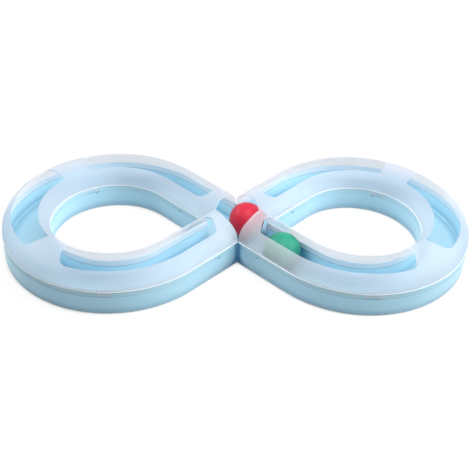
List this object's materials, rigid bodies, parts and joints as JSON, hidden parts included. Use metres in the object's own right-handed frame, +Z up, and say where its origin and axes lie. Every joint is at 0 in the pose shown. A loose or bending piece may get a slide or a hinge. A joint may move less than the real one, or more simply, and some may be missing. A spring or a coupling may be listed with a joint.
{
  "type": "cat ball track",
  "caption": "Figure-eight cat track: blue channel base, frosted arched covers with paw slots, and hollow balls that roll inside past the crossing.",
  "frame": {"origin": "on the ground, at the centre of the crossing, which is also the bottom centre of the bounding box", "axes": "+X along the long direction towards the right loop, +Y towards the rear, +Z up"},
  "size_m": [0.5264, 0.2492, 0.0505],
  "materials": {
    "light_blue_plastic": "satin light blue moulded plastic",
    "frosted_plastic": "frosted translucent white plastic",
    "red_plastic": "satin red plastic",
    "green_plastic": "satin green plastic",
    "grey_rubber": "matt grey rubber"
  },
  "bodies": {
    "track": {"base_left": "light_blue_plastic", "base_right": "light_blue_plastic", "foot_pad_left_1": "grey_rubber", "foot_pad_left_2": "grey_rubber", "foot_pad_left_3": "grey_rubber", "foot_pad_left_4": "grey_rubber", "foot_pad_right_1": "grey_rubber", "foot_pad_right_2": "grey_rubber", "foot_pad_right_3": "grey_rubber", "foot_pad_right_4": "grey_rubber"},
    "left_cover": {"cover_left": "frosted_plastic"},
    "right_cover": {"cover_right": "frosted_plastic"},
    "red_ball": {"red_ball_upper": "red_plastic", "red_ball_lower": "red_plastic"},
    "green_ball": {"green_ball_upper": "green_plastic", "green_ball_lower": "green_plastic"}
  },
  "joints": [
    {"name": "left_cover_lift", "type": "slide", "parent": "track", "child": "left_cover", "axis": [0, 0, 1], "range_m": [0, 0.06]},
    {"name": "right_cover_lift", "type": "slide", "parent": "track", "child": "right_cover", "axis": [0, 0, 1], "range_m": [0, 0.06]},
    {"name": "red_ball_roll", "type": "slide", "parent": "track", "child": "red_ball", "axis": [0.7071, 0.7071, 0], "range_m": [-0.1142, 0.0818]},
    {"name": "green_ball_roll", "type": "hinge", "parent": "track", "child": "green_ball", "pos_m": [0.13859, 0, 0.0248], "axis": [0, 0, 1], "range_deg": [0, 260]}
  ]
}
